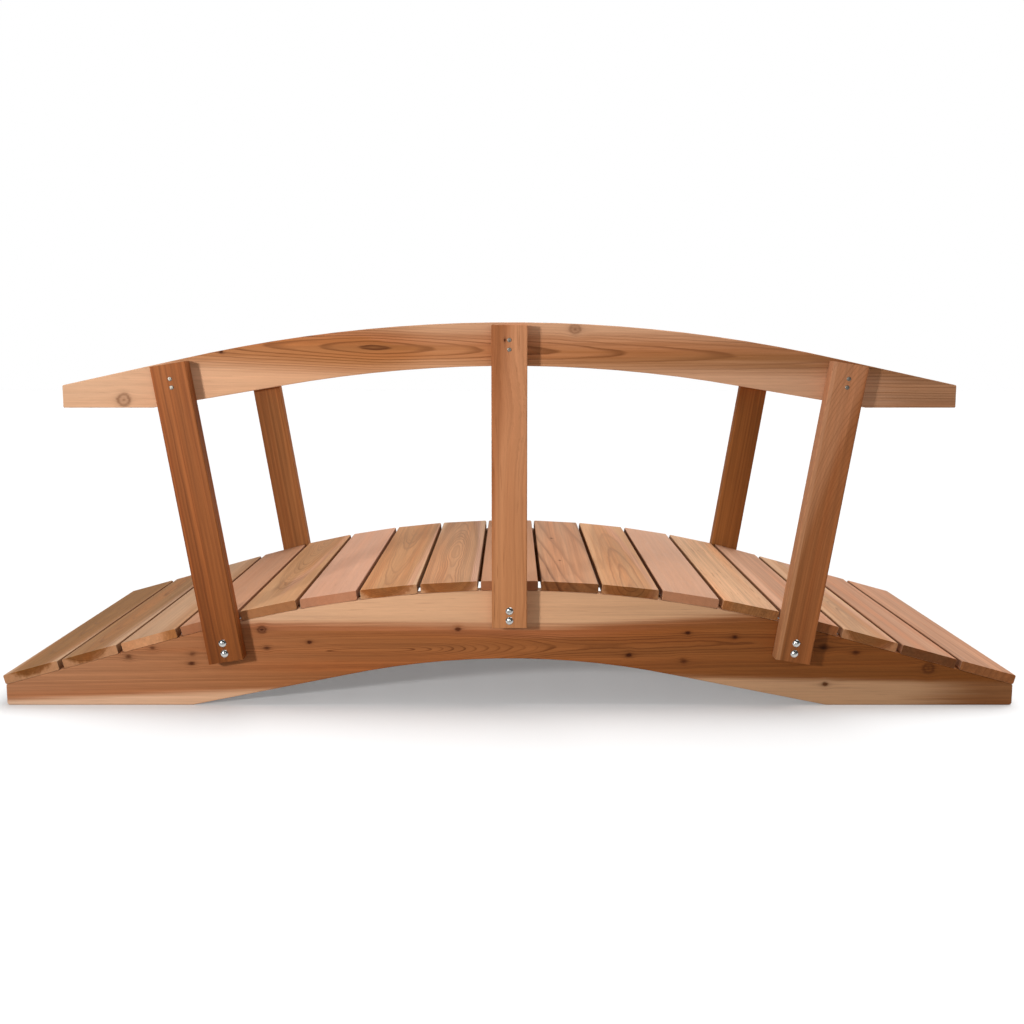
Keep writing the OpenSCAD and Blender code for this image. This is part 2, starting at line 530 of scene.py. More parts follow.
def cedar_group():
    """Colour, roughness and height of cedar at a place: u along the grain, v across, w through the board."""
    courses = course_sockets("ring") + course_sockets("sap")
    graph, given, out = new_group(
        "cedar",
        {"vector": ["place"], "float": [*BOARD_INPUTS, *CUT_INPUTS, *courses], "colour": Tone._fields},
        {"colour": ["colour"], "float": ["roughness", "height"]},
    )
    place = graph.split(given["place"])
    spot = graph.vector("ADD", given["place"], graph.scale(SEED_STEP, given["seed"]))
    grain = Grain(
        tone=graph.noise(spot, TONE),
        streak=graph.noise(spot, STREAK, STREAK_DETAIL, STREAK_ROUGHNESS),
        red=graph.smooth(graph.noise(spot, RED), *RED_BAND),
        fleck=graph.smooth(graph.noise(spot, FLECK), *FLECK_BAND),
        fibre=graph.noise(spot, FIBRE),
    )
    rings = growth_rings(graph, given, place, spot)
    sap = find_sapwood(graph, given, place, grain, rings)
    rougher = graph.add(graph.mul(grain.fibre, FIBRE_ROUGH), graph.mul(END_ROUGH, given["end_grain"]))
    rough = graph.sub(graph.add(ROUGHNESS, rougher), graph.mul(LATE_SMOOTH, rings.late))
    relief = graph.add(graph.mul(STREAK_RELIEF, grain.streak), graph.mul(LATE_RELIEF, rings.late))
    graph.plug(out.inputs["colour"], cedar_colour(graph, given, place["X"], grain, rings, sap))
    graph.plug(out.inputs["roughness"], rough)
    graph.plug(out.inputs["height"], graph.add(grain.fibre, relief))
    return graph.tree


# Noise in the outline of a knot, in cycles per metre along the grain, across it and through the board
FUZZ = (90.0, 260.0, 260.0)
# How much longer a knot is along the grain than across it
KNOT_STRETCH = 1.4
# Share by which the grain is pushed aside at the knot, and how far that reaches, in knot sizes
KNOT_PUSH = 0.6
KNOT_REACH = 1.8
# Where a knot's dark core and halo start to fade and end, in knot sizes
CORE_BAND = (0.10, 1.30)
HALO_BAND = (0.5, 2.6)
# A ringed knot: how much smoother and rounder than others it is, the width of its outline, where its heart
# starts to fade and ends, and the shades of the heart and of what lies between the two
RINGED_SMOOTH = 0.4
RINGED_ROUNDER = 0.4
OUTLINE_WIDTH = 0.34
HEART_BAND = (0.10, 0.50)
HEART_SHADE = 0.75
RINGED_SHADE = 0.30
# Length and width of the dark streak that trails from a knot along the grain, in knot sizes
TAIL_LENGTH = 4.0
TAIL_WIDTH = 0.8
# How dark the streak and the halo are next to the knot itself
TAIL_SHARE = 0.26
HALO_SHARE = 0.28


def knot_group():
    """A knot: pushes the grain aside round it, and adds its dark wood to the knots so far."""
    graph, given, out = new_group(
        "knot",
        {"vector": ["place"], "float": [*Knot._fields, "knots"]},
        {"vector": ["place"], "float": ["knots"]},
    )
    u, v, w = graph.split(given["place"])
    stretch = graph.sub(KNOT_STRETCH, graph.mul(RINGED_ROUNDER, given["ringed"]))
    along = graph.div(graph.sub(u, given["u"]), graph.mul(given["size"], stretch))
    aside = graph.sub(v, given["v"])
    across = graph.div(aside, given["size"])
    rugged = graph.rest(graph.mul(RINGED_SMOOTH, given["ringed"]))
    fuzz = graph.mul(graph.noise(given["place"], FUZZ), rugged)
    distance = graph.add(graph.hypot(along, across), fuzz)
    pushed = graph.mul(aside, KNOT_PUSH, graph.bell(graph.div(distance, KNOT_REACH)))

    core = graph.rest(graph.smooth(distance, *CORE_BAND))
    outline = graph.bell(graph.div(graph.sub(distance, 1.0), OUTLINE_WIDTH))
    heart = graph.mul(HEART_SHADE, graph.rest(graph.smooth(distance, *HEART_BAND)))
    ringed = graph.math("MAXIMUM", graph.math("MAXIMUM", outline, heart), graph.mul(RINGED_SHADE, core))
    core = graph.add(core, graph.mul(given["ringed"], graph.sub(ringed, core)))
    halo = graph.mul(HALO_SHARE, graph.rest(graph.smooth(distance, *HALO_BAND)))
    spent = graph.squares(graph.div(across, TAIL_WIDTH), graph.div(along, TAIL_LENGTH))
    tail = graph.mul(TAIL_SHARE, graph.math("EXPONENT", graph.mul(-1.0, spent)))
    dark = graph.mul(given["shade"], graph.add(core, halo, tail))
    graph.plug(out.inputs["place"], graph.join(u, graph.sub(v, pushed), w))
    graph.plug(out.inputs["knots"], graph.math("MAXIMUM", given["knots"], dark, clamp=True))
    return graph.tree


CEDAR = cedar_group()
KNOT = knot_group()


def facing(graph, lie, axis):
    """How squarely a surface faces along one of a board's own axes."""
    unit = Vector((0.0, 0.0, 0.0))
    unit["XYZ".index(lie.axes[axis])] = 1.0
    normal = graph.node("ShaderNodeNewGeometry").outputs["True Normal"]
    return graph.math("ABSOLUTE", graph.vector("DOT_PRODUCT", normal, Euler(lie.turn).to_matrix() @ unit))


def cedar_material(name, lie, cut, seed):
    """The cedar of one board."""
    material = bpy.data.materials.new(name)
    graph = empty_tree(material)
    model_place = graph.node("ShaderNodeTexCoord").outputs["Object"]
    turned = graph.node(
        "ShaderNodeMapping",
        {"Vector": model_place, "Location": lie.at, "Rotation": lie.turn},
        vector_type="TEXTURE",
    )
    parts = graph.split(turned.outputs["Vector"])
    place = graph.join(*(parts[axis] for axis in lie.axes))
    knots = 0.0
    for knot in cut.knots:
        inputs = {"place": place, "knots": knots, **knot._asdict()}
        node = graph.node("ShaderNodeGroup", inputs, node_tree=KNOT)
        place, knots = node.outputs["place"], node.outputs["knots"]

    # Painted shade on the sides of a board, where they face each other across a gap
    side_shade = 0.0
    if cut.side_shade:
        side = graph.smooth(facing(graph, lie, ACROSS), SIDE_START, SIDE_FULL)
        side_shade = graph.mul(cut.side_shade, side)
    strip = 0.0
    if cut.strip is not None:
        strip = graph.smooth(graph.split(place)["Y"], cut.strip + STRIP_EDGE, cut.strip - STRIP_EDGE)
    rings = Course(*(getattr(cut, value) for value in Course._fields))
    values = {
        "place": place,
        "seed": float(seed),
        "sap_drift": cut.drift if cut.sap_drift is None else cut.sap_drift,
        "strip": strip,
        "knots": knots,
        "end_grain": graph.smooth(facing(graph, lie, ALONG), END_START, END_FULL),
        "side_shade": side_shade,
    }
    values.update((value, getattr(cut, value)) for value in CUT_INPUTS)
    values.update((part, rgba(colour)) for part, colour in cut.tone._asdict().items())
    values.update(zip(course_sockets("ring"), rings))
    values.update(zip(course_sockets("sap"), cut.sap_course or rings))
    wood = graph.node("ShaderNodeGroup", values, node_tree=CEDAR).outputs
    bump = graph.node(
        "ShaderNodeBump",
        {"Height": wood["height"], "Distance": BUMP_DEPTH, "Strength": BUMP_STRENGTH},
    )
    shader = graph.node(
        "ShaderNodeBsdfPrincipled",
        {"Base Color": wood["colour"], "Roughness": wood["roughness"], "Specular IOR Level": SPECULAR,
         "Normal": bump.outputs["Normal"]},
    )
    graph.show(shader.outputs["BSDF"])
    return material


def dress(node, lie, cut, seed):
    """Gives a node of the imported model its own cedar."""
    material = cedar_material(f"cedar_{node}", lie, cut, seed)
    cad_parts[node].material_slots[0].material = material


# Gap that is welded and angle that counts as flat, before the edges are eased
WELD_GAP = 0.01 * MM
FLAT_ANGLE = math.radians(0.1)
# Least angle of an edge that is eased, and the steps round it
EASE_ANGLE = math.radians(40)
EASE_STEPS = 3


def ease_edges(node, radius):
    """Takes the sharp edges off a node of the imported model."""
    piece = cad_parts[node]
    weld = piece.modifiers.new("weld", "WELD")
    weld.merge_threshold = WELD_GAP
    merge = piece.modifiers.new("merge_flats", "DECIMATE")
    merge.decimate_type = "DISSOLVE"
    merge.angle_limit = FLAT_ANGLE
    ease = piece.modifiers.new("ease", "BEVEL")
    ease.width = radius
    ease.segments = EASE_STEPS
    ease.limit_method = "ANGLE"
    ease.angle_limit = EASE_ANGLE


# Side beams and handrails

BEAM_CEDAR = Tone((0.645, 0.360, 0.198), (0.325, 0.110, 0.0315), (0.120, 0.032, 0.007))
RAIL_CEDAR = Tone((0.655, 0.350, 0.196), (0.370, 0.140, 0.042), (0.130, 0.036, 0.007))
BEAM_KNOTS = (
    Knot(-0.690, 0.090, 0.0050, 0.6), Knot(-0.646, 0.106, 0.0045, 0.55), Knot(-0.574, 0.095, 0.0050, 0.5),
    Knot(-0.576, 0.078, 0.0050, 0.7), Knot(-0.447, 0.140, 0.0060, 0.72, 0.6),
    Knot(-0.439, 0.106, 0.0048, 0.6), Knot(-0.362, 0.117, 0.0036, 0.85), Knot(-0.093, 0.141, 0.0048, 0.78),
    Knot(0.216, 0.093, 0.0048, 0.75), Knot(0.322, 0.134, 0.0042, 0.75), Knot(0.407, 0.127, 0.0044, 0.65),
    Knot(0.316, 0.082, 0.0054, 0.55), Knot(0.573, 0.039, 0.0048, 0.8), Knot(0.760, 0.069, 0.0085, 0.5, 0.8),
    Knot(0.627, 0.098, 0.0055, 0.6), Knot(0.569, 0.108, 0.0075, 0.6),
)
RAIL_KNOTS = (
    Knot(-0.679, 0.554, 0.0095, 0.5, 0.9), Knot(-0.505, 0.6375, 0.0030, 0.85),
    Knot(0.115, 0.677, 0.0075, 0.5, 0.6),
)
# Both long boards are paler to the left and have darker, warmer heartwood to the right: partly painted light
# and shade
BEAM_CUT = Cut(
    BEAM_CEDAR, across=0.100, drift=0.0194, depth=-0.0062, taper=0.039, bend=0.051, bend_at=-0.20,
    ring_limit=0.012, ring_shift=0.007, sap_course=Course(0.053, taper=-0.006, bend=-0.040, bend_at=0.09),
    ring=0.0020, waviness=0.005, sap=0.080, sap_edge=0.006, flare=0.80, flare_at=0.70, pale=0.45, fade=-0.26,
    sap_fade=-0.06, lines=1.0, streaks=0.7, mottle=0.4, knots=BEAM_KNOTS,
)
RAIL_CUT = Cut(
    RAIL_CEDAR, across=0.640, drift=-0.022, depth=-0.015, bend=0.036, bend_at=-0.237, bend_power=0.45,
    sap_course=Course(0.0362, taper=0.05, bend=0.07, bend_at=-0.237), sap_limit=0.0363, ring=0.0042,
    waviness=0.004, sap=0.0575, sap_edge=0.011, flare=0.52, flare_at=0.55, pale=0.44, fade=-0.28,
    sap_fade=0.06, lines=1.3, streaks=0.6, mottle=0.4, knots=RAIL_KNOTS,
)
LONG_EDGE = 2.0 * MM


def long_board(node, side):
    """A long board's own axes, seen from outside the bridge: u to the right, v up from the ground, w in."""
    low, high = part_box(node)
    middle = Vector((0.0, (low.y + high.y) / 2, 0.0))
    return Lie(middle, (0.0, 0.0, math.pi if side > 0 else 0.0), "XZY")


for side_name, side in SIDES.items():
    for seed, (part, cut) in enumerate((("stringer", BEAM_CUT), ("rail", RAIL_CUT))):
        board = f"{side_name}_{part}"
        dress(board, long_board(board, side), cut, seed + BACK_SEED * (side > 0))
        ease_edges(board, LONG_EDGE)


# Posts

RUSSET = Tone((0.410, 0.152, 0.048), (0.212, 0.0615, 0.0130), (0.105, 0.025, 0.005))
AMBER = Tone((0.485, 0.203, 0.080), (0.375, 0.130, 0.046), (0.21, 0.062, 0.018))
CHESTNUT = Tone((0.530, 0.232, 0.099), (0.325, 0.114, 0.035), (0.17, 0.050, 0.013))
TAWNY = Tone((0.47, 0.205, 0.078), (0.385, 0.152, 0.049), (0.180, 0.052, 0.013))
UMBER = Tone((0.38, 0.155, 0.047), (0.315, 0.114, 0.030), (0.150, 0.042, 0.009))
# Wide growth rings on edge: stripes along the post
STRIPED = Cut(
    RUSSET, across=0.09, depth=0.03, ring=0.011, waviness=0.010, lines=0.8, streaks=1.4, mottle=1.0,
)
# Heart of the log in the outer face, so that sapwood parts from heartwood along a line on it
FACE_COURSE = Course(-0.016)
# The front posts grow paler towards their heads, partly as painted light falling from above
POST_CUTS = {
    "front": {
        "left": replace(STRIPED, fade=1.5),
        "middle": Cut(
            AMBER, across=-0.05, depth=0.03, sap_course=FACE_COURSE, sap_shift=-0.044, sap_drift=0.06,
            rim=0.0, ring=0.012, waviness=0.018, sap=0.058, sap_edge=0.011, sap_hides=0.35, sap_fade=0.45,
            lines=0.65, streaks=0.7, flecks=0.45,
            knots=(Knot(0.508, -0.0078, 0.0022), Knot(0.385, -0.018, 0.030, 0.0)),
        ),
        "right": Cut(
            CHESTNUT, across=0.06, depth=-0.0139, drift=0.02, taper=0.14, bend=0.14, bend_at=0.24,
            sap_course=FACE_COURSE, sap_drift=0.17, ring=0.0038, waviness=0.008, sap=0.120, sap_edge=0.011,
            sap_hides=0.3, sap_share=0.55, strip=-0.0235, fade=0.35, sap_fade=0.45, lines=0.45, streaks=0.9,
        ),
    },
    "back": {
        # Painted shade on the sides of this post
        "left": replace(STRIPED, tone=TAWNY, across=-0.09, lines=0.45, side_shade=0.2),
        "middle": replace(STRIPED, tone=TAWNY, across=0.05, waviness=0.02),
        "right": replace(STRIPED, tone=UMBER, across=0.12, ring=0.007, lines=0.4),
    },
}
POST_EDGE = 1.2 * MM


def post_ends(node):
    """Middles of a post's foot and head."""
    points = [v.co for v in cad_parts[node].data.vertices]
    level = sum(p.z for p in points) / len(points)
    ends = [[p for p in points if p.z < level], [p for p in points if p.z >= level]]
    return [sum(end, Vector()) / len(end) for end in ends]


def post_lie(node, side):
    """A post's own axes, seen from outside the bridge: u up from its foot, v to the right, w inwards."""
    foot, head = post_ends(node)
    axis = head - foot
    lean = math.atan2(axis.x, axis.z)
    turn = (0.0, -lean, math.pi) if side > 0 else (0.0, lean, 0.0)
    return Lie(foot, turn, "ZXY")


for side_name, side in SIDES.items():
    for number, place in enumerate(PLACES):
        post = f"{side_name}_{place}_post"
        seed = POST_SEED + number + BACK_SEED * (side > 0)
        dress(post, post_lie(post, side), POST_CUTS[side_name][place], seed)
        ease_edges(post, POST_EDGE)


# Deck

# Colours of a plank's heartwood, sapwood and latewood next to its stain
STAIN_HEART = (1.09, 1.09, 1.08)
STAIN_SAP = (1.30, 1.36, 1.42)
STAIN_LATE = (0.48, 0.36, 0.26)


def stained(*stain, sapwood=None):
    """The tones of a plank with a stain of the given linear colour. Its sapwood may have its own colour."""
    def tinted(tint):
        return tuple(share * part for share, part in zip(tint, stain))
    return Tone(sapwood or tinted(STAIN_SAP), tinted(STAIN_HEART), tinted(STAIN_LATE))


# How much painted shade darkens the planks' long sides in the gaps, and less on the right, where light
# reaches them
GAP_SHADE = 0.85
RIGHT_GAP_SHADE = 0.5
# Growth rings on edge: straight lines along the plank
EDGE = Cut(
    stained(0.34, 0.178, 0.084), across=0.16, depth=-0.03, ring=0.0065, waviness=0.010, lines=0.6,
    streaks=0.9, side_shade=GAP_SHADE,
)
RIGHT_EDGE = replace(EDGE, side_shade=RIGHT_GAP_SHADE)
# Plain sapwood
SAPPY = Cut(
    stained(0.44, 0.225, 0.140), depth=-0.09, ring=0.0040, waviness=0.016, sap=0.0, lines=0.6, streaks=0.5,
    mottle=0.35, side_shade=GAP_SHADE,
)
# Cut near the outside of the log, with its heart side up: arches on the face, a lens of heartwood in the end
LENS = Cut(
    stained(0.42, 0.212, 0.105), depth=0.040, taper=0.02, ring=0.0034, waviness=0.012, sap=0.049,
    sap_edge=0.005, lines=0.75, streaks=0.7, side_shade=GAP_SHADE,
)
PLANK_CUTS = {
    1: replace(
        LENS, tone=stained(0.265, 0.126, 0.047, sapwood=(0.47, 0.29, 0.17)), across=0.003, depth=0.030,
        taper=-0.06, sap=0.0575, ring=0.0060, lines=0.55, flecks=0.3, end_shade=1.35,
    ),
    2: replace(
        LENS, tone=stained(0.315, 0.160, 0.069, sapwood=(0.48, 0.29, 0.17)), across=-0.004, depth=0.030,
        taper=-0.05, sap=0.0580, ring=0.0045, end_shade=1.3,
    ),
    3: replace(
        EDGE, tone=stained(0.37, 0.195, 0.098, sapwood=(0.48, 0.285, 0.165)), sap=0.135, sap_edge=0.016,
        lines=0.4, end_shade=1.6,
    ),
    4: replace(SAPPY, tone=stained(0.36, 0.172, 0.092)),
    5: replace(
        LENS, tone=stained(0.40, 0.204, 0.095), taper=-0.06, waviness=0.020, lines=0.85, end_shade=0.85,
    ),
    6: replace(SAPPY, tone=stained(0.445, 0.230, 0.142)),
    7: replace(
        LENS, tone=stained(0.435, 0.217, 0.099, sapwood=(0.58, 0.36, 0.21)), across=-0.003, depth=0.034,
        taper=-0.03, sap=0.061, ring=0.0032, lines=0.6,
    ),
    8: replace(
        LENS, tone=stained(0.42, 0.219, 0.111, sapwood=(0.60, 0.38, 0.23)), across=-0.002, depth=0.031,
        bend=0.025, bend_at=0.02, ring=0.0026, sap=0.057, lines=0.95,
    ),
    9: replace(SAPPY, tone=stained(0.36, 0.170, 0.088), end_shade=0.85),
    10: replace(
        EDGE, tone=stained(0.415, 0.219, 0.120), across=0.02, depth=0.05, drift=-0.09, ring=0.022,
        lines=1.1, end_shade=0.75, knots=(Knot(0.12, -0.018, 0.0030), Knot(-0.16, -0.010, 0.0026)),
    ),
    11: replace(
        LENS, tone=stained(0.455, 0.235, 0.112), taper=0.045, depth=0.034, ring=0.0085, lines=0.7,
        mottle=0.7, end_shade=0.8,
    ),
    12: replace(SAPPY, tone=stained(0.445, 0.240, 0.146)),
    13: replace(
        RIGHT_EDGE, tone=stained(0.61, 0.350, 0.195), ring=0.0050, lines=0.45, flecks=0.7, end_shade=0.85,
    ),
    14: replace(RIGHT_EDGE, tone=stained(0.47, 0.240, 0.138), sap=0.19, sap_edge=0.006, lines=0.35),
    15: replace(
        LENS, tone=stained(0.47, 0.258, 0.135), taper=0.03, flecks=0.3, side_shade=RIGHT_GAP_SHADE,
    ),
    16: replace(RIGHT_EDGE, tone=stained(0.43, 0.218, 0.124), lines=0.25, ring=0.004, end_shade=0.66),
    17: replace(RIGHT_EDGE, tone=stained(0.42, 0.212, 0.120), ring=0.012, lines=0.45, end_shade=1.3),
}
PLANK_EDGE = 0.8 * MM


def plank_lie(node):
    """A plank's own axes: u to the back, v along the bridge, w up from its middle."""
    low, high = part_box(node)
    broad = max(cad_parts[node].data.polygons, key=lambda face: face.area)
    normal = broad.normal if broad.normal.z > 0 else -broad.normal
    return Lie((low + high) / 2, (0.0, math.atan2(normal.x, normal.z), 0.0), "YXZ")


for number in range(1, PLANK_COUNT + 1):
    plank = f"plank_{number:02d}"
    dress(plank, plank_lie(plank), PLANK_CUTS[number], PLANK_SEED + number)
    ease_edges(plank, PLANK_EDGE)


# Fasteners

# Heights of the bolts above a post's foot, and depths of the screws below its head
OUTER_BOLTS = (34.5 * MM, 15.5 * MM)
OUTER_SCREWS = (26 * MM, 41 * MM)
BOLT_LEVELS = {"left": OUTER_BOLTS, "middle": (31 * MM, 13.5 * MM), "right": OUTER_BOLTS}
SCREW_LEVELS = {"left": OUTER_SCREWS, "middle": (26 * MM, 42.5 * MM), "right": OUTER_SCREWS}
BOLT_HEAD_R = 7.0 * MM
BOLT_RIM = 0.7 * MM
BOLT_DOME = 3.4 * MM
# Radii of the steps up the dome, as shares of the head's
DOME_STEPS = (1.0, 0.97, 0.9, 0.78, 0.62, 0.45, 0.27, 0.1)
WASHER_R = 9.2 * MM
WASHER_T = 1.5 * MM
# Where a washer's rim starts to round, as a share of its thickness, and the size of its top next to the rest
WASHER_SHOULDER = 0.8
WASHER_TOP = 0.97
NUT_APOTHEM = 5.6 * MM
NUT_T = 5.6 * MM
NUT_CHAMFER = 0.7 * MM
THREAD_R = 3.15 * MM
THREAD_ROOT_R = 2.7 * MM
THREAD_PITCH = 1.27 * MM
THREAD_TURNS = 3
SCREW_R = 3.7 * MM
SCREW_HEIGHT = 0.9 * MM
# Radii and heights of the steps up a screw's head, as shares of the whole head's
SCREW_STEPS = ((1.0, 0.0), (1.0, 0.4), (0.92, 0.8), (0.75, 1.0))
RECESS_R = 2.2 * MM
RECESS_WAIST_R = 0.75 * MM
RECESS_FLOOR = 0.2 * MM
# Size of the recess at its floor next to its mouth, and how slim the arms of its cross are
RECESS_TAPER = 0.85
RECESS_SLIMNESS = 6
SEGMENTS = 48
SHARP_ANGLE = math.radians(35)
# Noise in the zinc, in cycles per metre: clouds in its colour, and grit
CLOUD = (260.0, 260.0, 260.0)
CLOUD_DETAIL = 3.0
GRIT = (1800.0, 1800.0, 1800.0)
# What they add to its roughness, and the depth and strength of the grit's relief
CLOUD_ROUGH = 0.16
GRIT_ROUGH = 0.08
GRIT_DEPTH = 0.05 * MM
GRIT_STRENGTH = 0.4


class Plating(NamedTuple):
    """The darkest and lightest linear colours of a zinc plating, and its roughness."""
    dark: tuple
    light: tuple
    roughness: float


BRIGHT = Plating((0.55, 0.56, 0.55), (0.78, 0.78, 0.75), 0.13)
DULL = Plating((0.16, 0.145, 0.12), (0.36, 0.325, 0.28), 0.45)


def zinc_material(name, plating):
    material = bpy.data.materials.new(name)
    graph = empty_tree(material)
    place = graph.node("ShaderNodeTexCoord").outputs["Object"]
    cloud = graph.noise(place, CLOUD, CLOUD_DETAIL)
    grit = graph.noise(place, GRIT)
    colour = graph.mix(graph.add(NOISE_MIDDLE, cloud), rgba(plating.dark), rgba(plating.light))
    rough = graph.add(plating.roughness, graph.mul(cloud, CLOUD_ROUGH), graph.mul(grit, GRIT_ROUGH))
    bump = graph.node("ShaderNodeBump", {"Height": grit, "Distance": GRIT_DEPTH, "Strength": GRIT_STRENGTH})
    shader = graph.node(
        "ShaderNodeBsdfPrincipled",
        {"Base Color": colour, "Metallic": 1.0, "Roughness": rough, "Normal": bump.outputs["Normal"]},
    )
    graph.show(shader.outputs["BSDF"])
    return material


ZINC = zinc_material("zinc", BRIGHT)
SCREW_ZINC = zinc_material("screw_zinc", DULL)


def round_ring(radius):
    return lambda angle: radius


def hex_ring(apothem, limit):
    """A hexagon whose corners are cut off by a circle."""
    sector = math.pi / 3
    return lambda angle: min(apothem / math.cos((angle + sector / 2) % sector - sector / 2), limit)


def cross_ring(size):
    """The outline of a cross recess, as a share of its full size."""
    span = RECESS_R - RECESS_WAIST_R
    return lambda angle: size * (RECESS_WAIST_R + span * math.cos(2 * angle) ** RECESS_SLIMNESS)


def loft(mesh, centre, outward, rings):
    """A closed solid through rings of (radius by angle, height), round an axis along Y from centre."""
    loops = []
    for radius, height in rings:
        loop = []
        for step in range(SEGMENTS):
            angle = 2 * math.pi * step / SEGMENTS
            spoke = Vector((math.cos(angle), 0.0, math.sin(angle))) * radius(angle)
            loop.append(mesh.verts.new(centre + outward * height + spoke))
        loops.append(loop)
    for near, far in zip(loops, loops[1:]):
        for step in range(SEGMENTS):
            after = (step + 1) % SEGMENTS
            mesh.faces.new((near[step], near[after], far[after], far[step]))
    mesh.faces.new(loops[0])
    mesh.faces.new(loops[-1])


def bolt_head(mesh, centre, outward):
    """A dome on a low rim."""
    ball = (BOLT_HEAD_R ** 2 + BOLT_DOME ** 2) / (2 * BOLT_DOME)
    rings = [(round_ring(BOLT_HEAD_R), 0.0)]
    for share in DOME_STEPS:
        radius = share * BOLT_HEAD_R
        height = BOLT_RIM + BOLT_DOME - ball + math.sqrt(ball ** 2 - radius ** 2)
        rings.append((round_ring(radius), height))
    loft(mesh, centre, outward, rings)


def washer_and_nut(mesh, centre, outward):
    """A washer, a nut on it and the end of the bolt's thread."""
    loft(mesh, centre, outward, [
        (round_ring(WASHER_R), 0.0),
        (round_ring(WASHER_R), WASHER_SHOULDER * WASHER_T),
        (round_ring(WASHER_TOP * WASHER_R), WASHER_T),
    ])
    corner = NUT_APOTHEM / math.cos(math.pi / 6)
    nut_top = WASHER_T + NUT_T
    loft(mesh, centre, outward, [
        (hex_ring(NUT_APOTHEM, NUT_APOTHEM), WASHER_T),
        (hex_ring(NUT_APOTHEM, corner), WASHER_T + NUT_CHAMFER),
        (hex_ring(NUT_APOTHEM, corner), nut_top - NUT_CHAMFER),
        (hex_ring(NUT_APOTHEM, NUT_APOTHEM), nut_top),
    ])
    rings = []
    for turn in range(THREAD_TURNS):
        height = nut_top + turn * THREAD_PITCH
        rings.append((round_ring(THREAD_ROOT_R), height))
        rings.append((round_ring(THREAD_R), height + THREAD_PITCH / 2))
    rings.append((round_ring(THREAD_ROOT_R), nut_top + THREAD_TURNS * THREAD_PITCH))
    loft(mesh, centre, outward, rings)


def screw_head(mesh, centre, outward):
    """A low head with a cross recess."""
    rings = [(round_ring(radius * SCREW_R), height * SCREW_HEIGHT) for radius, height in SCREW_STEPS]
    rings += [(cross_ring(1.0), SCREW_HEIGHT), (cross_ring(RECESS_TAPER), RECESS_FLOOR)]
    loft(mesh, centre, outward, rings)


def mesh_data(name, mesh):
    """Turns a mesh that is being edited into data for an object."""
    data = bpy.data.meshes.new(name)
    mesh.to_mesh(data)
    mesh.free()
    return data


def add_object(name, data):
    thing = bpy.data.objects.new(name, data)
    bpy.context.scene.collection.objects.link(thing)
    return thing


def fastener_piece(name, spots, outward, build, material):
    """One piece with the same fastener at each spot."""
    mesh = bmesh.new()
    for spot in spots:
        build(mesh, spot, outward)
    bmesh.ops.recalc_face_normals(mesh, faces=mesh.faces)
    data = mesh_data(name, mesh)
    data.shade_smooth()
    data.set_sharp_from_angle(angle=SHARP_ANGLE)
    data.materials.append(material)
    piece = add_object(name, data)
    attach(piece, BODY)


def fasten_post(side_name, side, place):
    """The bolts, nuts and screws of one post. The nuts are inside the beam."""
    post = f"{side_name}_{place}_post"
    post_low, post_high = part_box(post)
    beam_low, beam_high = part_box(f"{side_name}_stringer")
    face = post_low.y if side < 0 else post_high.y
    beam_inside = beam_high.y if side < 0 else beam_low.y
    outward = Vector((0.0, float(side), 0.0))
    foot, head = post_ends(post)
    axis = (head - foot).normalized()
    bolts = [foot + axis * level for level in BOLT_LEVELS[place]]
    screws = [head - axis * level for level in SCREW_LEVELS[place]]
    for kind, points, y, way, build, material in (
        ("bolts", bolts, face, outward, bolt_head, ZINC),
        ("nuts", bolts, beam_inside, -outward, washer_and_nut, ZINC),
        ("screws", screws, face, outward, screw_head, SCREW_ZINC),
    ):
        spots = [Vector((p.x, y, p.z)) for p in points]
        fastener_piece(f"{side_name}_{place}_{kind}", spots, way, build, material)


for side_name, side in SIDES.items():
    for place in PLACES:
        fasten_post(side_name, side, place)


# Floor, light and camera

FLOOR_SIZE = 30.0
FLOOR_CELLS = 4
FLOOR_DROP = 0.2 * MM
# Grey and glow of the floor as the camera shows it, and the grey that throws light back
FLOOR_GREY = (0.76, 0.76, 0.76, 1.0)
FLOOR_GLOW = (0.19, 0.19, 0.19, 1.0)
FLOOR_BOUNCE = (0.40, 0.40, 0.40, 1.0)
# How far to the front and back the floor is bright in reflections
REFLECT_START, REFLECT_END = 0.50, 0.68
WHITE = (1.0, 1.0, 1.0, 1.0)
AMBIENT = 0.26
# Light of the room in front of the bridge in reflections, and the Y of the way at which its edge to the
# ambient light starts and ends, to the front and back
ROOM_DARK = 0.07
ROOM_EDGE = 0.2
# A window that only reflections show: the way to it, the cosines at its edge and how bright it is
WINDOW_WAY = (-0.51, -0.74, 0.44)
WINDOW_BAND = (0.90, 0.96)
WINDOW_LIGHT = 1.8
TOP_STRENGTH = 3.1
TOP_SPREAD = math.radians(70)
TOP_TURN = (math.radians(-24), math.radians(18), 0.0)
KEY_AT = Vector((-1.9, -2.9, 0.95))
KEY_AIM = Vector((-0.2, -0.4, 0.35))
KEY_SIZE = 0.28
KEY_SPREAD = math.radians(47)
KEY_POWER = 4.6
FILL_AT = Vector((0.7, -3.6, 1.1))
FILL_AIM = Vector((0.0, -0.4, 0.35))
FILL_SIZE = 0.5
FILL_SPREAD = math.radians(180)
FILL_POWER = 8
CAMERA_AT = Vector((0.0046, -2.572, 0.6498))
CAMERA_PITCH = math.radians(7.695)
CAMERA_LENS = 43.49
SENSOR = 36.0


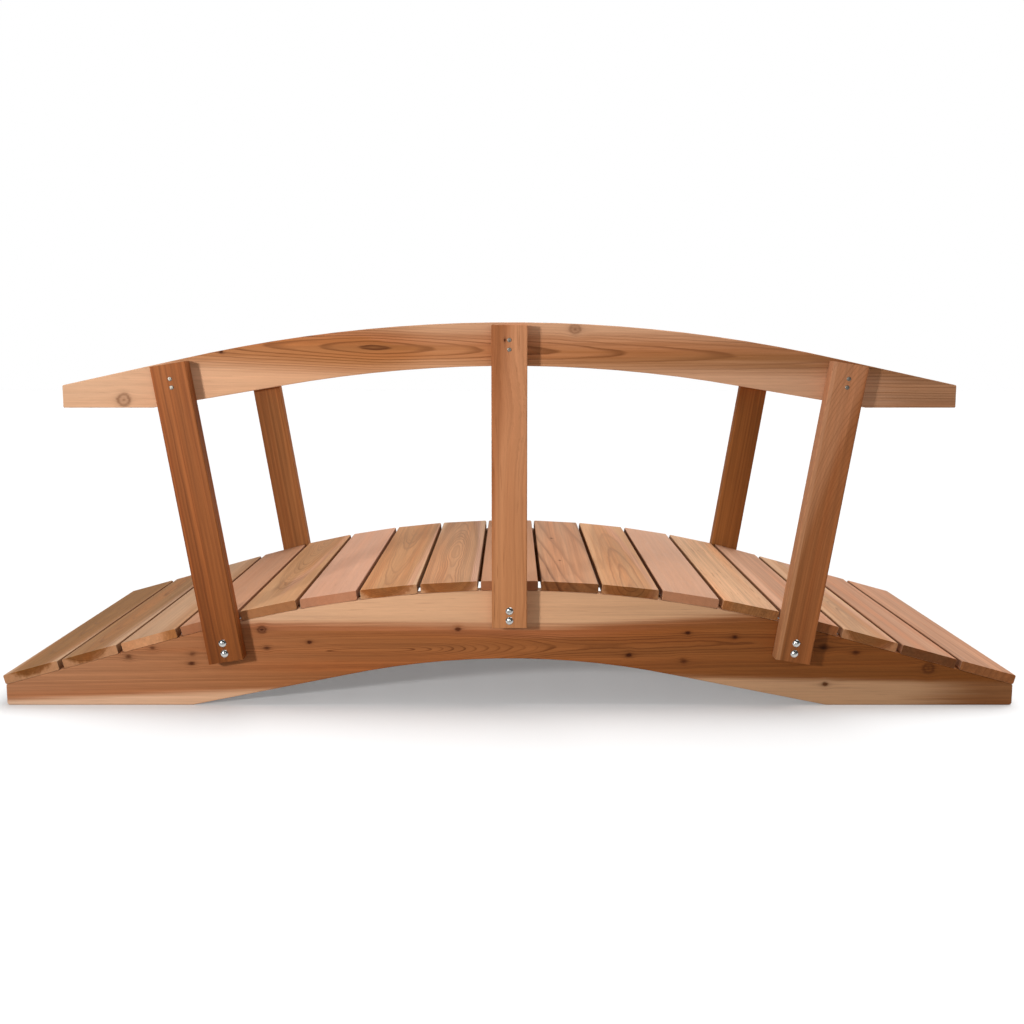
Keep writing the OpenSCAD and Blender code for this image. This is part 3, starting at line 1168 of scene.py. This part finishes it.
def add_floor():
    """A white floor that throws back less light than it shows, so that shadows on the boards stay deep."""
    mesh = bmesh.new()
    bmesh.ops.create_grid(mesh, x_segments=FLOOR_CELLS, y_segments=FLOOR_CELLS, size=FLOOR_SIZE / 2)
    floor = add_object("floor", mesh_data("floor", mesh))
    floor.location.z = -FLOOR_DROP
    material = bpy.data.materials.new("floor")
    graph = empty_tree(material)
    white = graph.node("ShaderNodeBsdfDiffuse", {"Color": FLOOR_GREY})
    glow = graph.node("ShaderNodeEmission", {"Color": FLOOR_GLOW, "Strength": 1.0})
    both = graph.node("ShaderNodeAddShader")
    graph.plug(both.inputs[0], white.outputs["BSDF"])
    graph.plug(both.inputs[1], glow.outputs["Emission"])
    dim = graph.node("ShaderNodeBsdfDiffuse", {"Color": FLOOR_BOUNCE})
    path = graph.node("ShaderNodeLightPath").outputs
    y = graph.split(graph.node("ShaderNodeTexCoord").outputs["Object"])["Y"]
    near = graph.smooth(graph.math("ABSOLUTE", y), REFLECT_END, REFLECT_START)
    seen = graph.math("MAXIMUM", path["Is Camera Ray"], graph.mul(near, path["Is Glossy Ray"]))
    graph.show(graph.mix_shaders(seen, dim.outputs["BSDF"], both.outputs["Shader"]))
    floor.data.materials.append(material)


def add_world():
    """White behind the bridge, with a dimmer ambient light.

    Reflections show a dark room in front, and a window.
    """
    world = bpy.data.worlds.new("studio")
    bpy.context.scene.world = world
    graph = empty_tree(world)
    path = graph.node("ShaderNodeLightPath").outputs
    way = graph.node("ShaderNodeTexCoord").outputs["Generated"]
    room = graph.node(
        "ShaderNodeMapRange",
        {"Value": graph.split(way)["Y"], "From Min": -ROOM_EDGE, "From Max": ROOM_EDGE, "To Min": ROOM_DARK,
         "To Max": AMBIENT},
    ).outputs["Result"]
    window = graph.smooth(graph.vector("DOT_PRODUCT", way, WINDOW_WAY), *WINDOW_BAND)
    reflected = graph.add(room, graph.mul(WINDOW_LIGHT, window))
    ambient, mirrored, backdrop = (
        graph.node("ShaderNodeBackground", {"Color": WHITE, "Strength": strength}).outputs["Background"]
        for strength in (AMBIENT, reflected, 1.0)
    )
    light = graph.mix_shaders(path["Is Glossy Ray"], ambient, mirrored)
    graph.show(graph.mix_shaders(path["Is Camera Ray"], light, backdrop), "World")


def add_softbox(name, at, aim, size, spread, power):
    """A round area light that the camera doesn't show."""
    light = bpy.data.lights.new(name, "AREA")
    light.shape = "DISK"
    light.size = size
    light.spread = spread
    light.energy = power
    lamp = add_object(name, light)
    lamp.location = at
    lamp.rotation_euler = (aim - at).to_track_quat("-Z", "Y").to_euler()
    lamp.visible_camera = False


def add_top_light():
    """A broad light from above, for soft shadows."""
    light = bpy.data.lights.new("top", "SUN")
    light.energy = TOP_STRENGTH
    light.angle = TOP_SPREAD
    lamp = add_object("top", light)
    lamp.rotation_euler = TOP_TURN


def add_camera():
    lens = bpy.data.cameras.new("camera")
    lens.sensor_width = SENSOR
    lens.lens = CAMERA_LENS
    camera = add_object("camera", lens)
    camera.location = CAMERA_AT
    camera.rotation_euler = (math.pi / 2 - CAMERA_PITCH, 0.0, 0.0)
    bpy.context.scene.camera = camera


add_floor()
add_world()
add_top_light()
add_softbox("key", KEY_AT, KEY_AIM, KEY_SIZE, KEY_SPREAD, KEY_POWER)
add_softbox("fill", FILL_AT, FILL_AIM, FILL_SIZE, FILL_SPREAD, FILL_POWER)
add_camera()
bpy.context.scene.view_settings.view_transform = "Standard"
